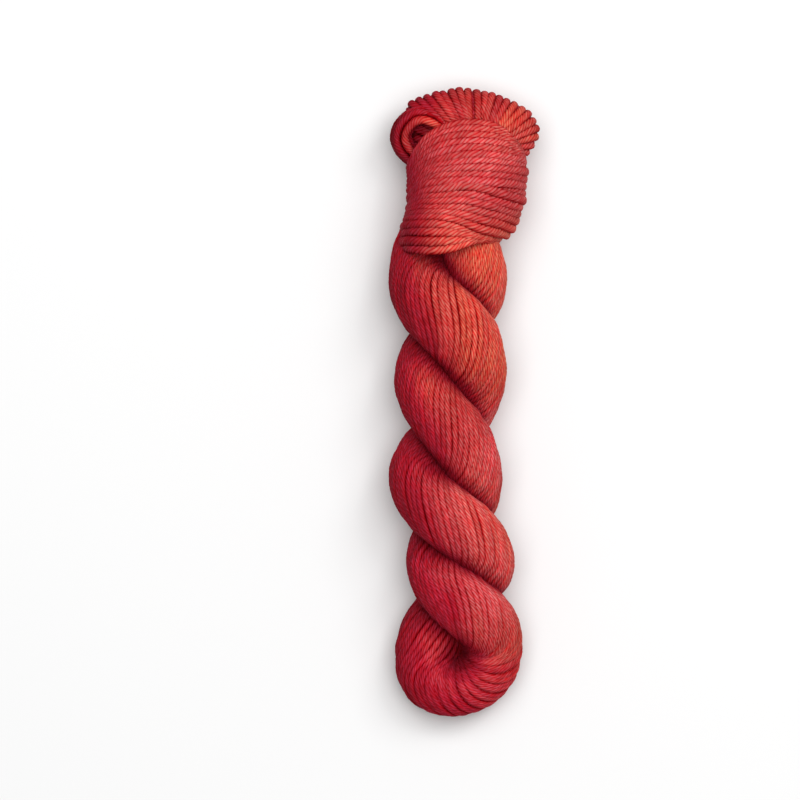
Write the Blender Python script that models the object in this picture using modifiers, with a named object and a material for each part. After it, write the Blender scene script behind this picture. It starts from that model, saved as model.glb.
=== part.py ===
"""Hank of chunky wool: a wound skein twisted into a rope, doubled back on itself and
closed by winding its last turns round the doubled end as a collar.

The hank lies on its back. +Y runs along it towards the crown, where the skein's turns fan
out of the collar, +X is to the right seen from above, and +Z is up. All sizes below are in
millimetres, and the model is made in metres.
"""
import math

import bmesh
import bpy
from mathutils import Matrix, Vector

MM = 0.001

# Driving dimensions of the doubled rope
ROPE_DEPTH = 0.87        # depth over width: the hank settles under its own weight
ROPE_STEP = 4.0          # spacing of the rope's sections along its centreline
ROPE_SIDE_RESOLUTION = 8 # a round section of 20 sides
BEND_STEPS = 3           # sections of the U-turn between the rows of its table
AXIS_HEIGHT = 22.8       # of the rope's axis over the surface it lies on

# The two plies of the rope, from the hidden end inside the collar to the U-turn.
# half_turns: how far the first ply has gone round the axis; 0 is right, 0.5 is front.
# drop: how far the axis sinks towards the surface.
ROPE_COLUMNS = ("y", "half_turns", "axis_x", "helix_radius", "first_radius", "second_radius",
                "drop")
ROPE_ROWS = (
    (112.0, 2.20, -1.0, 5.0, 11.0, 11.0, 0.0),
    (96.0, 1.62, -3.5, 8.5, 15.0, 13.5, 0.0),
    (81.0, 1.32, -6.2, 11.5, 17.4, 14.0, 0.0),
    (58.6, 1.00, -7.4, 12.4, 16.4, 15.8, 0.0),
    (36.2, 0.47, -6.0, 12.0, 18.3, 14.2, 0.0),
    (11.9, 0.00, -6.6, 11.8, 15.2, 15.2, 0.0),
    (-11.9, -0.50, -6.1, 11.6, 14.6, 15.8, 0.0),
    (-35.2, -1.00, -8.8, 12.0, 15.6, 15.4, 0.0),
    (-56.7, -1.50, -4.6, 11.8, 16.8, 14.4, 0.3),
    (-75.7, -2.00, -2.4, 11.4, 15.6, 14.2, 1.2),
    (-92.4, -2.50, -1.6, 12.4, 14.6, 16.6, 3.6),
    (-101.0, -2.69, -1.6, 13.4, 14.6, 16.0, 5.6),
    (-110.0, -2.93, -1.8, 14.2, 15.6, 16.0, 7.8),
    (-116.0, -3.00, -2.2, 14.5, 16.0, 16.0, 8.6),
)

# The U-turn at the closed end, from the second ply round to the first
BEND_COLUMNS = ("x", "y", "radius", "drop")
BEND_ROWS = (
    (11.9, -119.4, 16.0, 8.9),
    (10.6, -125.0, 16.0, 9.1),
    (7.0, -129.8, 16.0, 9.1),
    (1.6, -133.2, 16.0, 9.1),
    (-5.0, -134.3, 16.0, 9.1),
    (-11.6, -133.4, 16.0, 9.1),
    (-16.3, -130.2, 16.0, 9.1),
    (-17.2, -123.4, 16.0, 9.0),
)

# The collar: hoops of yarn from its top rim down to its last turns. Each hoop has its
# height at the right edge, right of the middle, the front, left of the middle, the left
# edge and the back, then where it ends at each side, and its depth.
COLLAR_COLUMNS = ("right", "right_mid", "front", "left_mid", "left", "back",
                  "right_x", "left_x", "depth")
COLLAR_ROWS = (
    (119.5, 131.2, 133.6, 128.1, 114.8, 126.0, 28.8, -27.4, 15.5),
    (117.1, 125.2, 126.2, 121.9, 108.1, 120.0, 29.6, -27.6, 20.5),
    (114.8, 119.0, 119.8, 115.7, 102.4, 114.0, 29.9, -27.6, 24.0),
    (111.2, 113.3, 113.3, 109.0, 96.7, 108.0, 29.9, -27.7, 26.0),
    (105.2, 107.0, 107.1, 102.9, 92.8, 102.0, 29.7, -28.0, 27.0),
    (96.4, 100.0, 101.2, 96.9, 90.0, 96.0, 28.8, -28.5, 27.2),
    (88.3, 93.0, 95.4, 92.0, 87.6, 90.0, 26.6, -28.9, 27.0),
    (82.4, 86.2, 89.8, 88.4, 85.6, 85.0, 23.8, -29.3, 26.6),
    (79.6, 80.2, 84.0, 85.0, 83.4, 81.0, 20.2, -29.7, 26.2),
    (78.4, 78.6, 79.4, 79.6, 79.4, 78.0, 19.0, -29.9, 25.8),
    (77.4, 77.4, 74.6, 73.8, 75.7, 76.0, 18.4, -29.6, 25.2),
    (76.8, 76.8, 72.2, 70.7, 73.0, 75.0, 18.0, -28.6, 24.4),
)
COLLAR_STATIONS = (0.0, 55.0, 90.0, 125.0, 180.0, 270.0)  # degrees round the hoop
COLLAR_SIDES = 48
COLLAR_LIFT = 2.4        # of the collar's axis above the rope's
COLLAR_ROLL = 0.72       # size of the rim's inner edge over the rim

# The crown: loops that fan out of the collar round one centre.
FAN_CENTRE = (5.7, 118.1)
FAN_COLUMNS = ("angle", "reach", "half_depth")
FAN_ROWS = (
    (176.0, 31.0, 6.0),
    (160.0, 34.0, 8.5),
    (150.0, 39.0, 11.0),
    (142.5, 41.0, 12.0),
    (134.0, 38.8, 14.4),
    (119.0, 35.4, 15.8),
    (105.0, 33.4, 16.4),
    (86.0, 31.4, 16.5),
    (65.0, 31.2, 16.5),
    (49.0, 32.6, 15.8),
    (35.0, 33.5, 14.4),
    (25.0, 33.6, 13.0),
    (16.0, 31.0, 10.5),
    (4.0, 26.0, 8.0),
)
FAN_STEP = 6.0           # degrees between the crown's sections
FAN_ROOT = 4.0           # distance of the loops' roots from the fan's centre
FAN_FLATNESS = 2.5       # power of the loops' outline: 2 is an ellipse
FAN_SIDES = 22
CROWN_DROP = 2.0         # of the crown's middle below the rope's axis

# The loops that have slipped off the crown and hang over the collar's left shoulder
LOCK_RADIUS = 4.3
LOCK_DEPTH = 1.7         # depth over width: the loops lie in front of each other
LOCK_ROUTE = (
    # x, y, z from the rope's axis
    (2.0, 120.0, 4.0),
    (-9.0, 131.5, 7.5),
    (-15.5, 136.3, 7.0),
    (-22.5, 137.2, 5.0),
    (-28.0, 133.6, 3.0),
    (-29.4, 128.8, 1.0),
    (-27.6, 123.8, -1.0),
    (-22.5, 120.0, -2.0),
    (-15.0, 117.5, -2.0),
)

# How the overlapping pieces are fused into one body of yarn
FUSE_VOXEL = 1.1
SMOOTH_ROUNDS = 3
TARGET_TRIANGLES = 9600

YARN_COLOUR = (0.56, 0.045, 0.045, 1.0)
YARN_ROUGHNESS = 0.72


def column(rows, columns, name):
    """One named column of a table."""
    at = columns.index(name)
    return [row[at] for row in rows]


def smooth_through(knots, values, at, period=None):
    """A smooth curve through values at rising knots, read at one place."""
    count = len(knots)
    if period:
        knots = [knots[-1] - period] + list(knots) + [knots[0] + period, knots[1] + period]
        values = [values[-1]] + list(values) + [values[0], values[1]]
        first = 1
    else:
        first = 0
    last = first + count - (0 if period else 1)
    at = min(max(at, knots[first]), knots[last])
    i = max(k for k in range(first, last) if knots[k] <= at)

    def slope(k):
        low, high = max(k - 1, 0), min(k + 1, len(knots) - 1)
        return (values[high] - values[low]) / (knots[high] - knots[low])

    span = knots[i + 1] - knots[i]
    t = (at - knots[i]) / span
    return (
        (2 * t**3 - 3 * t**2 + 1) * values[i]
        + (t**3 - 2 * t**2 + t) * span * slope(i)
        + (3 * t**2 - 2 * t**3) * values[i + 1]
        + (t**3 - t**2) * span * slope(i + 1)
    )


def rope_at(y, name):
    """A named size of the rope at a height along the hank."""
    knots = column(ROPE_ROWS, ROPE_COLUMNS, "y")[::-1]
    values = column(ROPE_ROWS, ROPE_COLUMNS, name)[::-1]
    return smooth_through(knots, values, y)


def ply_point(y, ply):
    """Centre of the first (0) or second (1) ply at a height, before the rope settles."""
    turn = math.pi * (rope_at(y, "half_turns") + ply)
    radius = rope_at(y, "helix_radius")
    return Vector((
        rope_at(y, "axis_x") + radius * math.cos(turn),
        y,
        radius * math.sin(turn) - rope_at(y, "drop") / ROPE_DEPTH,
    ))


def bend_at(row, name):
    """A named size of the U-turn at a place between the rows of its table."""
    knots = list(range(len(BEND_ROWS)))
    return smooth_through(knots, column(BEND_ROWS, BEND_COLUMNS, name), row)


def bend_point(row):
    """Centre of the rope at a place round the U-turn, before the rope settles."""
    return Vector((bend_at(row, "x"), bend_at(row, "y"), -bend_at(row, "drop") / ROPE_DEPTH))


def rope_centreline():
    """(points, radii) of the whole rope: down the second ply, round the bend, up the first."""
    top, bottom = ROPE_ROWS[0][0], ROPE_ROWS[-1][0]
    steps = round((top - bottom) / ROPE_STEP)
    heights = [top + (bottom - top) * i / steps for i in range(steps + 1)]
    places = [i / BEND_STEPS for i in range(BEND_STEPS * (len(BEND_ROWS) - 1) + 1)]
    down = [ply_point(y, 1) for y in heights]
    bend = [bend_point(row) for row in places]
    up = [ply_point(y, 0) for y in reversed(heights)]
    radii = [rope_at(y, "second_radius") for y in heights]
    radii += [bend_at(row, "radius") for row in places]
    radii += [rope_at(y, "first_radius") for y in reversed(heights)]
    return down + bend + up, radii


def move_to_mesh(curve_object):
    """The curve's evaluated solid as a closed bmesh, in place of the curve."""
    graph = bpy.context.evaluated_depsgraph_get()
    mesh = bpy.data.meshes.new_from_object(curve_object.evaluated_get(graph))
    solid = bmesh.new()
    solid.from_mesh(mesh)
    bmesh.ops.remove_doubles(solid, verts=solid.verts, dist=0.01)
    bpy.data.objects.remove(curve_object)
    bpy.data.meshes.remove(mesh)
    return solid


def tube(name, points, radii, resolution):
    """A closed round tube through the points, as a bmesh in millimetres."""
    data = bpy.data.curves.new(name, "CURVE")
    data.dimensions = "3D"
    data.bevel_depth = 1.0
    data.bevel_resolution = resolution
    data.use_fill_caps = True
    spline = data.splines.new("POLY")
    spline.points.add(len(points) - 1)
    for target, point, radius in zip(spline.points, points, radii):
        target.co = (*point, 1.0)
        target.radius = radius
    curve = bpy.data.objects.new(name, data)
    bpy.context.scene.collection.objects.link(curve)
    bpy.context.view_layer.update()
    return move_to_mesh(curve)


def loft(rings):
    """A closed solid through unlike rings of equally many points, as a bmesh."""
    solid = bmesh.new()
    made = [[solid.verts.new(point) for point in ring] for ring in rings]
    for low, high in zip(made, made[1:]):
        for i in range(len(low)):
            after = (i + 1) % len(low)
            solid.faces.new((low[i], low[after], high[after], high[i]))
    solid.faces.new(made[0][::-1])
    solid.faces.new(made[-1])
    bmesh.ops.triangulate(solid, faces=[f for f in solid.faces if len(f.verts) > 4])
    bmesh.ops.recalc_face_normals(solid, faces=solid.faces)
    return solid


def rope():
    """The doubled, twisted rope, settled to its depth."""
    points, radii = rope_centreline()
    solid = tube("rope", points, radii, ROPE_SIDE_RESOLUTION)
    solid.transform(Matrix.Scale(ROPE_DEPTH, 4, (0, 0, 1)))
    return solid


def collar_hoop(row):
    """One hoop of the collar."""
    sizes = dict(zip(COLLAR_COLUMNS, row))
    middle = (sizes["right_x"] + sizes["left_x"]) / 2
    half_width = (sizes["right_x"] - sizes["left_x"]) / 2
    heights = row[: len(COLLAR_STATIONS)]
    ring = []
    for i in range(COLLAR_SIDES):
        turn = 360 * i / COLLAR_SIDES
        ring.append(Vector((
            middle + half_width * math.cos(math.radians(turn)),
            smooth_through(COLLAR_STATIONS, heights, turn, 360.0),
            COLLAR_LIFT + sizes["depth"] * math.sin(math.radians(turn)),
        )))
    return ring


def collar():
    """The turns wound round the doubled end, with a rolled top rim."""
    rings = [collar_hoop(row) for row in COLLAR_ROWS]
    centre = sum(rings[0], Vector()) / COLLAR_SIDES
    inner = [centre + (point - centre) * COLLAR_ROLL for point in rings[0]]
    return loft([inner] + rings)


def fan_at(angle, name):
    """A named size of the crown at an angle round its centre."""
    knots = column(FAN_ROWS, FAN_COLUMNS, "angle")[::-1]
    return smooth_through(knots, column(FAN_ROWS, FAN_COLUMNS, name)[::-1], angle)


def crown():
    """The fan of loops, as sections that turn round the fan's centre."""
    first, last = FAN_ROWS[0][0], FAN_ROWS[-1][0]
    steps = round((first - last) / FAN_STEP)
    rings = []
    for step in range(steps + 1):
        angle = first + (last - first) * step / steps
        reach, half_depth = fan_at(angle, "reach"), fan_at(angle, "half_depth")
        outward = Vector((math.cos(math.radians(angle)), math.sin(math.radians(angle)), 0))
        ring = []
        for i in range(FAN_SIDES):
            turn = math.pi * (i / (FAN_SIDES - 1) - 0.5)
            out = abs(math.cos(turn)) ** (2 / FAN_FLATNESS) * (reach - FAN_ROOT)
            up = math.copysign(abs(math.sin(turn)) ** (2 / FAN_FLATNESS), turn) * half_depth
            foot = Vector((*FAN_CENTRE, up - CROWN_DROP))
            ring.append(foot + outward * (FAN_ROOT + out))
        rings.append(ring)
    return loft(rings)


def lock():
    """The loops that have slipped over the collar's shoulder."""
    flat = Matrix.Scale(LOCK_DEPTH, 4, (0, 0, 1))
    route = [Vector(point) for point in LOCK_ROUTE]
    knots = list(range(len(route)))
    fine = [i / 3 for i in range(3 * (len(route) - 1) + 1)]
    points = [
        Vector([smooth_through(knots, [p[axis] for p in route], t) for axis in range(3)])
        for t in fine
    ]
    for point in points:
        point.z /= LOCK_DEPTH
    solid = tube("lock", points, [LOCK_RADIUS] * len(points), 4)
    solid.transform(flat)
    return solid


def yarn_material():
    """Dyed wool: a dull coral red."""
    material = bpy.data.materials.new("yarn")
    material.use_nodes = True
    shader = material.node_tree.nodes["Principled BSDF"]
    shader.inputs["Base Color"].default_value = YARN_COLOUR
    shader.inputs["Roughness"].default_value = YARN_ROUGHNESS
    shader.inputs["Metallic"].default_value = 0.0
    material.diffuse_color = YARN_COLOUR
    return material


def new_collection(name):
    collection = bpy.data.collections.new(name)
    bpy.context.scene.collection.children.link(collection)
    return collection


def surface_cutter(collection):
    """The block under the surface, which presses the hank's underside flat."""
    size = 500 * MM
    bpy.ops.mesh.primitive_cube_add(size=size, location=(0, 0, -size / 2))
    block = bpy.context.object
    block.name = "surface_block"
    block.hide_render = True
    block.display_type = "WIRE"
    for owner in list(block.users_collection):
        owner.objects.unlink(block)
    collection.objects.link(block)
    return block


def hank(collection, cutter):
    """The whole hank as one body: its pieces joined, fused, thinned and pressed flat."""
    mesh = bpy.data.meshes.new("hank")
    whole = bmesh.new()
    for piece in (rope(), collar(), crown(), lock()):
        part = bpy.data.meshes.new("piece")
        piece.to_mesh(part)
        piece.free()
        whole.from_mesh(part)
        bpy.data.meshes.remove(part)
    whole.transform(Matrix.Translation((0, 0, AXIS_HEIGHT)))
    whole.transform(Matrix.Scale(MM, 4))
    whole.to_mesh(mesh)
    whole.free()
    body = bpy.data.objects.new("hank", mesh)
    collection.objects.link(body)
    mesh.materials.append(yarn_material())

    fuse = body.modifiers.new("fuse", "REMESH")
    fuse.mode = "VOXEL"
    fuse.voxel_size = FUSE_VOXEL * MM
    soften = body.modifiers.new("soften", "SMOOTH")
    soften.iterations = SMOOTH_ROUNDS
    bpy.context.view_layer.update()
    graph = bpy.context.evaluated_depsgraph_get()
    fused = body.evaluated_get(graph).to_mesh()
    fused.calc_loop_triangles()
    thin = body.modifiers.new("thin", "DECIMATE")
    thin.ratio = TARGET_TRIANGLES / len(fused.loop_triangles)
    press = body.modifiers.new("press", "BOOLEAN")
    press.operation = "DIFFERENCE"
    press.object = cutter
    return body


def main():
    for old in list(bpy.data.objects):
        bpy.data.objects.remove(old)
    yarn = new_collection("hank_of_yarn")
    cutters = new_collection("cutters")
    hank(yarn, surface_cutter(cutters))


main()
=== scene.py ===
"""Hank of chunky plied wool, with every turn of yarn that can be seen as its own plied strand.

Sizes are in millimetres in the part's frame until a mesh is made, which is in metres:
+Y runs along the hank towards the crown, +X is right seen from above, +Z is up.
"""
import math

import bmesh
import bpy
import numpy as np
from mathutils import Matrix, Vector


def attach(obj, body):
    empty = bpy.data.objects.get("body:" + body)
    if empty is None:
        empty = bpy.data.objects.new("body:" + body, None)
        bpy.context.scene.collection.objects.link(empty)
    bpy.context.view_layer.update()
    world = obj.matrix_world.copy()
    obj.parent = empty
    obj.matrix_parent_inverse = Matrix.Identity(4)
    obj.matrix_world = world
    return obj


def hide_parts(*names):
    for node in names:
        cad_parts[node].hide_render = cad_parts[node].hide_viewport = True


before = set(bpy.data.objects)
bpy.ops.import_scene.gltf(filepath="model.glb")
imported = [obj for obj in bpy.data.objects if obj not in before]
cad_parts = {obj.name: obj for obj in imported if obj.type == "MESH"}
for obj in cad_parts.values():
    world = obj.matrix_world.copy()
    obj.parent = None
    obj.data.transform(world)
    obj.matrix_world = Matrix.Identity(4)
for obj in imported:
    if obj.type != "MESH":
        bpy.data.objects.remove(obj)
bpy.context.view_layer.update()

MM = 0.001

# ---------------------------------------------------------------- the hank's form
ROPE_DEPTH = 0.87        # depth over width: the hank settles under its own weight
AXIS_HEIGHT = 22.8       # of the rope's axis over the surface it lies on
# y, half turns, axis x, helix radius, first ply's radius, second ply's radius, drop
ROPE_ROWS = (
    (112.0, 2.20, -1.0, 5.0, 11.0, 11.0, 0.0),
    (96.0, 1.62, -3.5, 8.5, 15.0, 13.5, 0.0),
    (81.0, 1.32, -6.2, 11.5, 17.4, 14.0, 0.0),
    (58.6, 1.00, -7.4, 12.4, 16.4, 15.8, 0.0),
    (36.2, 0.47, -6.0, 12.0, 18.3, 14.2, 0.0),
    (11.9, 0.00, -6.6, 11.8, 15.2, 15.2, 0.0),
    (-11.9, -0.50, -6.1, 11.6, 14.6, 15.8, 0.0),
    (-35.2, -1.00, -8.8, 12.0, 15.6, 15.4, 0.0),
    (-56.7, -1.50, -4.6, 11.8, 16.8, 14.4, 0.3),
    (-75.7, -2.00, -2.4, 11.4, 15.6, 14.2, 1.2),
    (-92.4, -2.50, -1.6, 12.4, 14.6, 16.6, 3.6),
    (-101.0, -2.69, -1.6, 13.4, 14.6, 16.0, 5.6),
    (-110.0, -2.93, -1.8, 14.2, 15.6, 16.0, 7.8),
    (-116.0, -3.00, -2.2, 14.5, 16.0, 16.0, 8.6),
)
# x, y, radius, drop, from the second ply round to the first
BEND_ROWS = (
    (11.9, -119.4, 16.0, 8.9),
    (10.6, -125.0, 16.0, 9.1),
    (7.0, -129.8, 16.0, 9.1),
    (1.6, -133.2, 16.0, 9.1),
    (-5.0, -134.3, 16.0, 9.1),
    (-11.6, -133.4, 16.0, 9.1),
    (-16.3, -130.2, 16.0, 9.1),
    (-17.2, -123.4, 16.0, 9.0),
)
# degrees round the collar, from its right end over its front
COLLAR_STATIONS = (0.0, 55.0, 90.0, 125.0, 180.0, 270.0)
# a hoop's height at each station, then its right end, left end and depth
COLLAR_ROWS = (
    (119.5, 131.2, 133.6, 128.1, 114.8, 126.0, 28.8, -27.4, 15.5),
    (117.1, 125.2, 126.2, 121.9, 108.1, 120.0, 29.6, -27.6, 20.5),
    (114.8, 119.0, 119.8, 115.7, 102.4, 114.0, 29.9, -27.6, 24.0),
    (111.2, 113.3, 113.3, 109.0, 96.7, 108.0, 29.9, -27.7, 26.0),
    (105.2, 107.0, 107.1, 102.9, 92.8, 102.0, 29.7, -28.0, 27.0),
    (96.4, 100.0, 101.2, 96.9, 90.0, 96.0, 28.8, -28.5, 27.2),
    (88.3, 93.0, 95.4, 92.0, 87.6, 90.0, 26.6, -28.9, 27.0),
    (82.4, 86.2, 89.8, 88.4, 85.6, 85.0, 23.8, -29.3, 26.6),
    (79.6, 80.2, 84.0, 85.0, 83.4, 81.0, 20.2, -29.7, 26.2),
    (78.4, 78.6, 79.4, 79.6, 79.4, 78.0, 19.0, -29.9, 25.8),
    (77.4, 77.4, 74.6, 73.8, 75.7, 76.0, 18.4, -29.6, 25.2),
    (76.8, 76.8, 72.2, 70.7, 73.0, 75.0, 18.0, -28.6, 24.4),
)
COLLAR_LIFT = 2.4        # of the collar's axis above the rope's
FAN_CENTRE = (5.7, 118.1)
# the crown's sections: angle in degrees, reach from the fan's centre, half depth
FAN_ROWS = (
    (176.0, 31.0, 6.0),
    (160.0, 34.0, 8.5),
    (150.0, 39.0, 11.0),
    (142.5, 41.0, 12.0),
    (134.0, 38.8, 14.4),
    (119.0, 35.4, 15.8),
    (105.0, 33.4, 16.4),
    (86.0, 31.4, 16.5),
    (65.0, 31.2, 16.5),
    (49.0, 32.6, 15.8),
    (35.0, 33.5, 14.4),
    (25.0, 33.6, 13.0),
    (16.0, 31.0, 10.5),
    (4.0, 26.0, 8.0),
)
FAN_ROOT = 4.0           # distance of the loops' roots from the fan's centre
FAN_FLATNESS = 2.5       # power of the loops' outline: 2 is an ellipse
CROWN_DROP = 2.0         # of the crown's middle below the rope's axis

# ---------------------------------------------------------------- the yarn
YARN = 3.35              # diameter of a strand
YARN_WIDE = 1.13         # its width and height where turns press on each other
YARN_HIGH = 0.92
YARN_STEP = 1.15         # length of a mesh segment along a strand
PLIES = 6                # ridges of the plied yarns round a strand
PLY_PITCH = 14.4         # length of one turn of the plies where the yarn lies easy
LOOP_PITCH = 11.4        # and in the loops, which are twisted tighter

# ---------------------------------------------------------------- the rope's turns
ROPE_STRANDS = 30        # turns side by side round one ply of the rope
ROPE_PIECES = 4
ROPE_STEP = 0.8          # between points of the rope's path
HEIGHT_STEP = 0.5        # between heights at which its rows are read,
BEND_STEP = 0.05         # and between places, in rows, along the bend
LAST_TOO = 0.01          # past the last place, so that it is read too
# how far along the rope, radians that the turns wind per millimetre of it, and how unevenly
# they lie there: every third turn sinks and the others rise
ROPE_TURNS = (
    (0.0, 0.063, 0.0),
    (250.0, 0.063, 0.0),
    (270.0, 0.073, 0.2),
    (285.0, 0.120, 0.7),
    (300.0, 0.165, 1.2),
    (315.0, 0.165, 1.3),
    (325.0, 0.120, 0.8),
    (335.0, 0.075, 0.3),
    (345.0, 0.060, 0.0),
    (385.0, 0.063, 0.0),
    (660.0, 0.063, 0.0),
)
OTHERS_RISE = 0.6        # share of the unevenness by which the others rise
ROPE_SOFTNESS = 3.2      # corners of the rope's path shorter than this are rounded off,
TURN_SOFTNESS = 1.6      # and those of its turns shorter than this
TURN_INSET = 0.43        # of a turn's middle under the ply's surface, in strands
TURN_WANDER = 0.16       # how far turns stray together, and how far each is misplaced,
TURN_JITTER = 0.10       # as shares of their spacing
TURN_LIFT = 0.28         # how far a turn rises and sinks on its way
TURN_FILL = 1.18         # how fully turns fill the room they have
TURN_TONE = 0.35         # how much tone and hue differ from turn to turn
HIDDEN_DEPTH = 1.25      # turns this many strands deep in the other ply aren't made,
HIDDEN_Y = 97.0          # nor those this far inside the collar,
SHORTEST_RUN = 12        # nor visible runs with fewer points than this
SAME_PLY = 42.0          # nearer than this along the path is the same ply
OWN_PLY = -99.0          # depth that stands for points of the same ply
CREASE_DEPTH = 3.8       # how much deeper the turns dive where the plies meet
CREASE_WIDTH = 6.0
CREASE_REACH = 4.0       # creases fade within this distance of the rope's axis,
CREASE_RISE = 9.0        # and within this height of it
BEND_Y = -108.0          # where the ply runs into the bend
BEND_FADE = 18.0         # creases are drawn aside less and less over this length before it,
LEAST_ASIDE = 0.1        # down to this share
CREASE_SHADE = 9.0       # how far the painted shade of a crease reaches,
LEFT_SHADE = 6.0         # how much farther on the left side,
DIMPLE_SHADE = 9.0       # how far it reaches round the dimple by the bend,
SHADE_TONE = 8.0         # and how much darker it is
DIMPLE_TOP = 8.0         # height over which dimples begin, and again to their full depth
# where turns gather, where the dimple is, how far round they slide, its depth and width:
# first the dimple by the bend, then the hollow in the slipped lock
DIMPLES = (
    ((-6.4, -122.9), (-2.8, -122.6), 10.0, 12.0, 6.0),
    ((-19.0, 129.5), (-19.0, 129.5), 10.0, 7.0, 7.5),
)

# ---------------------------------------------------------------- the collar's turns
# from top to bottom: their heights at the front, right and left ends, and how far they
# stand out there; the last five are tucked inside the lower rim
COLLAR_TURNS = (
    (132.4, 118.8, 114.3, 0.0, 0.0, 0.0),
    (129.5, 118.1, 112.1, 0.1, 0.0, 0.1),
    (126.4, 117.4, 110.0, -0.1, 0.1, 0.0),
    (123.3, 116.7, 107.9, 0.1, -0.1, 0.2),
    (120.2, 115.7, 105.7, 0.0, 0.0, -0.1),
    (117.1, 114.4, 103.6, 0.3, 0.1, 0.1),
    (113.9, 112.3, 101.7, -0.2, -0.1, 0.2),
    (111.2, 109.3, 99.8, 0.4, 0.5, -0.1),
    (108.2, 106.2, 97.9, -0.4, -0.2, 0.1),
    (104.9, 103.2, 96.2, 0.3, 0.0, 0.2),
    (103.2, 100.0, 95.2, -2.6, -0.3, -1.6),
    (101.9, 96.8, 94.3, 0.3, 0.4, -0.1),
    (98.8, 93.2, 92.9, -0.1, -0.2, 0.1),
    (95.7, 90.0, 91.5, 0.1, 0.1, 0.0),
    (92.7, 86.8, 90.1, -0.3, -0.1, 0.2),
    (89.2, 83.6, 88.5, 0.5, 0.1, 0.0),
    (86.5, 80.9, 86.6, 0.5, 0.2, 0.2),
    (83.0, 79.2, 83.6, -0.1, -0.8, 0.4),
    (80.1, 78.4, 80.3, 0.0, -0.9, 0.0),
    (76.9, 77.7, 77.1, 0.2, -0.7, 0.3),
    (73.8, 77.1, 74.2, 0.1, -0.5, 0.1),
    (73.8, 77.2, 74.2, -3.0, -3.4, -3.0),
    (74.3, 77.6, 74.7, -5.8, -6.2, -5.8),
    (74.3, 77.6, 74.7, -8.6, -9.0, -8.6),
    (74.3, 77.6, 74.7, -11.4, -11.8, -11.4),
    (74.3, 77.6, 74.7, -14.2, -14.6, -14.2),
)

COLLAR_STEP = 1.5        # degrees between points of its strand
COLLAR_TAIL = 60.0       # degrees that the strand goes on past both ends
COLLAR_FILL = 1.22       # how fully its turns fill the room they have
COLLAR_UNEVEN = 0.36     # how far they rise and sink,
COLLAR_SHIFT = 0.28      # and how far they stray along the hank

CORE_INSET = 2.1         # how far the mass of inner turns lies under the outermost ones
CORE_CREASE_Y = 90.0     # above this it has no creases: the collar is round it

# ---------------------------------------------------------------- the crown's loops
LOOP_POINTS = 240
CROWN_LOOPS = 18
CROWN_FIRST = 141.5      # angles of the outer loops
CROWN_LAST = 24.0
SIDE_LOOPS = (17.5, 10.5, 4.0)             # of the loops at the right end,
DEEP_LOOPS = (148.0, 156.0, 164.0, 172.0)  # of those under the slipped lock,
LOW_LOOPS = (145.5, 150.0, 154.5, 159.0, 164.0, 169.5, 175.5)  # and of those low on the left
PAST_FIRST = 8.0         # degrees between the inner loops past either end of the outer ones
PAST_LAST = 7.0
CROWN_PROUD = 0.1        # how far the outer loops stand out,
CROWN_UNEVEN = 0.35      # and how much more or less of it they do
CROWN_JITTER = 0.12      # how far they are misplaced, as a share of their spacing
CROWN_LEAN = 0.5         # how far they lean, and by how much that differs
LEAN_SPREAD = 0.7
DEEP_INSET = 1.2         # of the loops under the lock, and of the inner loops
INNER_INSET = 1.3
LOW_TUCK = 3.5           # the low loops begin this far in, at this point,
LOW_START = 100
LOW_FADE = 30.0          # and come out to the others within so many points
# painted shade: the low loops, those under the slipped lock and the inner loops are darker, as
# they lie low or under others
LOW_TONE = -1.6
DEEP_TONE = -3.0
INNER_TONE = -2.5
PAINTED_LIGHT_RIGHT = 1.3         # painted light: the crown is this much paler to the right, towards the key light
# tone from a loop's front root over its crest to the back: painted shade, darker at the crest,
# where the loop turns down at the outline
CREST_SHADE_TONES = np.array((-0.8, -0.8, -0.8, -1.0, -2.2, -1.0, 0.0, 0.0, 0.0))

# ---------------------------------------------------------------- the slipped lock
# The loops that have slipped over the collar's left shoulder: the route of the topmost one,
# x, y and height over the rope's axis
SLIPPED_ROUTE = (
    (0.0, 122.0, 5.0),
    (-8.6, 128.1, 8.5),
    (-14.0, 131.9, 10.5),
    (-18.1, 134.0, 11.8),
    (-21.2, 134.3, 12.0),
    (-24.2, 132.9, 11.2),
    (-26.8, 130.0, 9.4),
    (-28.0, 126.4, 7.2),
    (-27.2, 122.8, 5.4),
    (-24.5, 119.4, 4.2),
    (-19.0, 116.0, 3.0),
)
LOCK_POINTS = 200
LOCK_STATIONS = (0.0, 0.6, 1.0)    # of the crown, the bend and the collar, along the route
LOCK_MIDDLE = (1.5, -7.0)          # of the lock, outside the route and over it
# how far outside the route a loop is at those stations, how far over it, thickness, and tone,
# which is painted light on the lit topmost loop and painted shade on those in shade; the last
# four are the lock's underside
SLIPPED_LOOPS = (
    (0.0, 0.0, 0.0, 0.0, 0.0, 0.0, 1.06, 0.8),
    (2.6, 4.0, 3.8, -6.0, -3.2, -2.5, 1.02, -1.6),
    (5.0, 5.2, 4.4, -7.0, -6.2, -6.0, 1.00, -2.4),
    (6.4, 5.4, 4.2, -8.5, -9.0, -9.0, 1.00, -3.0),
    (0.6, 0.4, -0.4, -5.0, -3.8, -3.6, 1.04, -1.2),
    (-0.6, -1.4, -2.4, -6.0, -5.4, -5.0, 1.02, -1.6),
    (1.0, 1.2, 1.0, -9.5, -9.0, -8.0, 1.00, -2.0),
    (3.4, 3.8, 3.4, -12.0, -12.2, -11.0, 1.00, -3.0),
    (3.2, 2.8, 0.0, -14.5, -14.8, -12.5, 1.05, -2.0),
    (1.8, 1.0, -2.5, -17.0, -17.6, -14.5, 1.05, -2.0),
    (-0.4, -1.4, -5.0, -19.0, -20.2, -16.0, 1.05, -2.0),
    (-3.0, -4.2, -8.0, -20.5, -22.2, -17.0, 1.05, -2.0),
)

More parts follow.
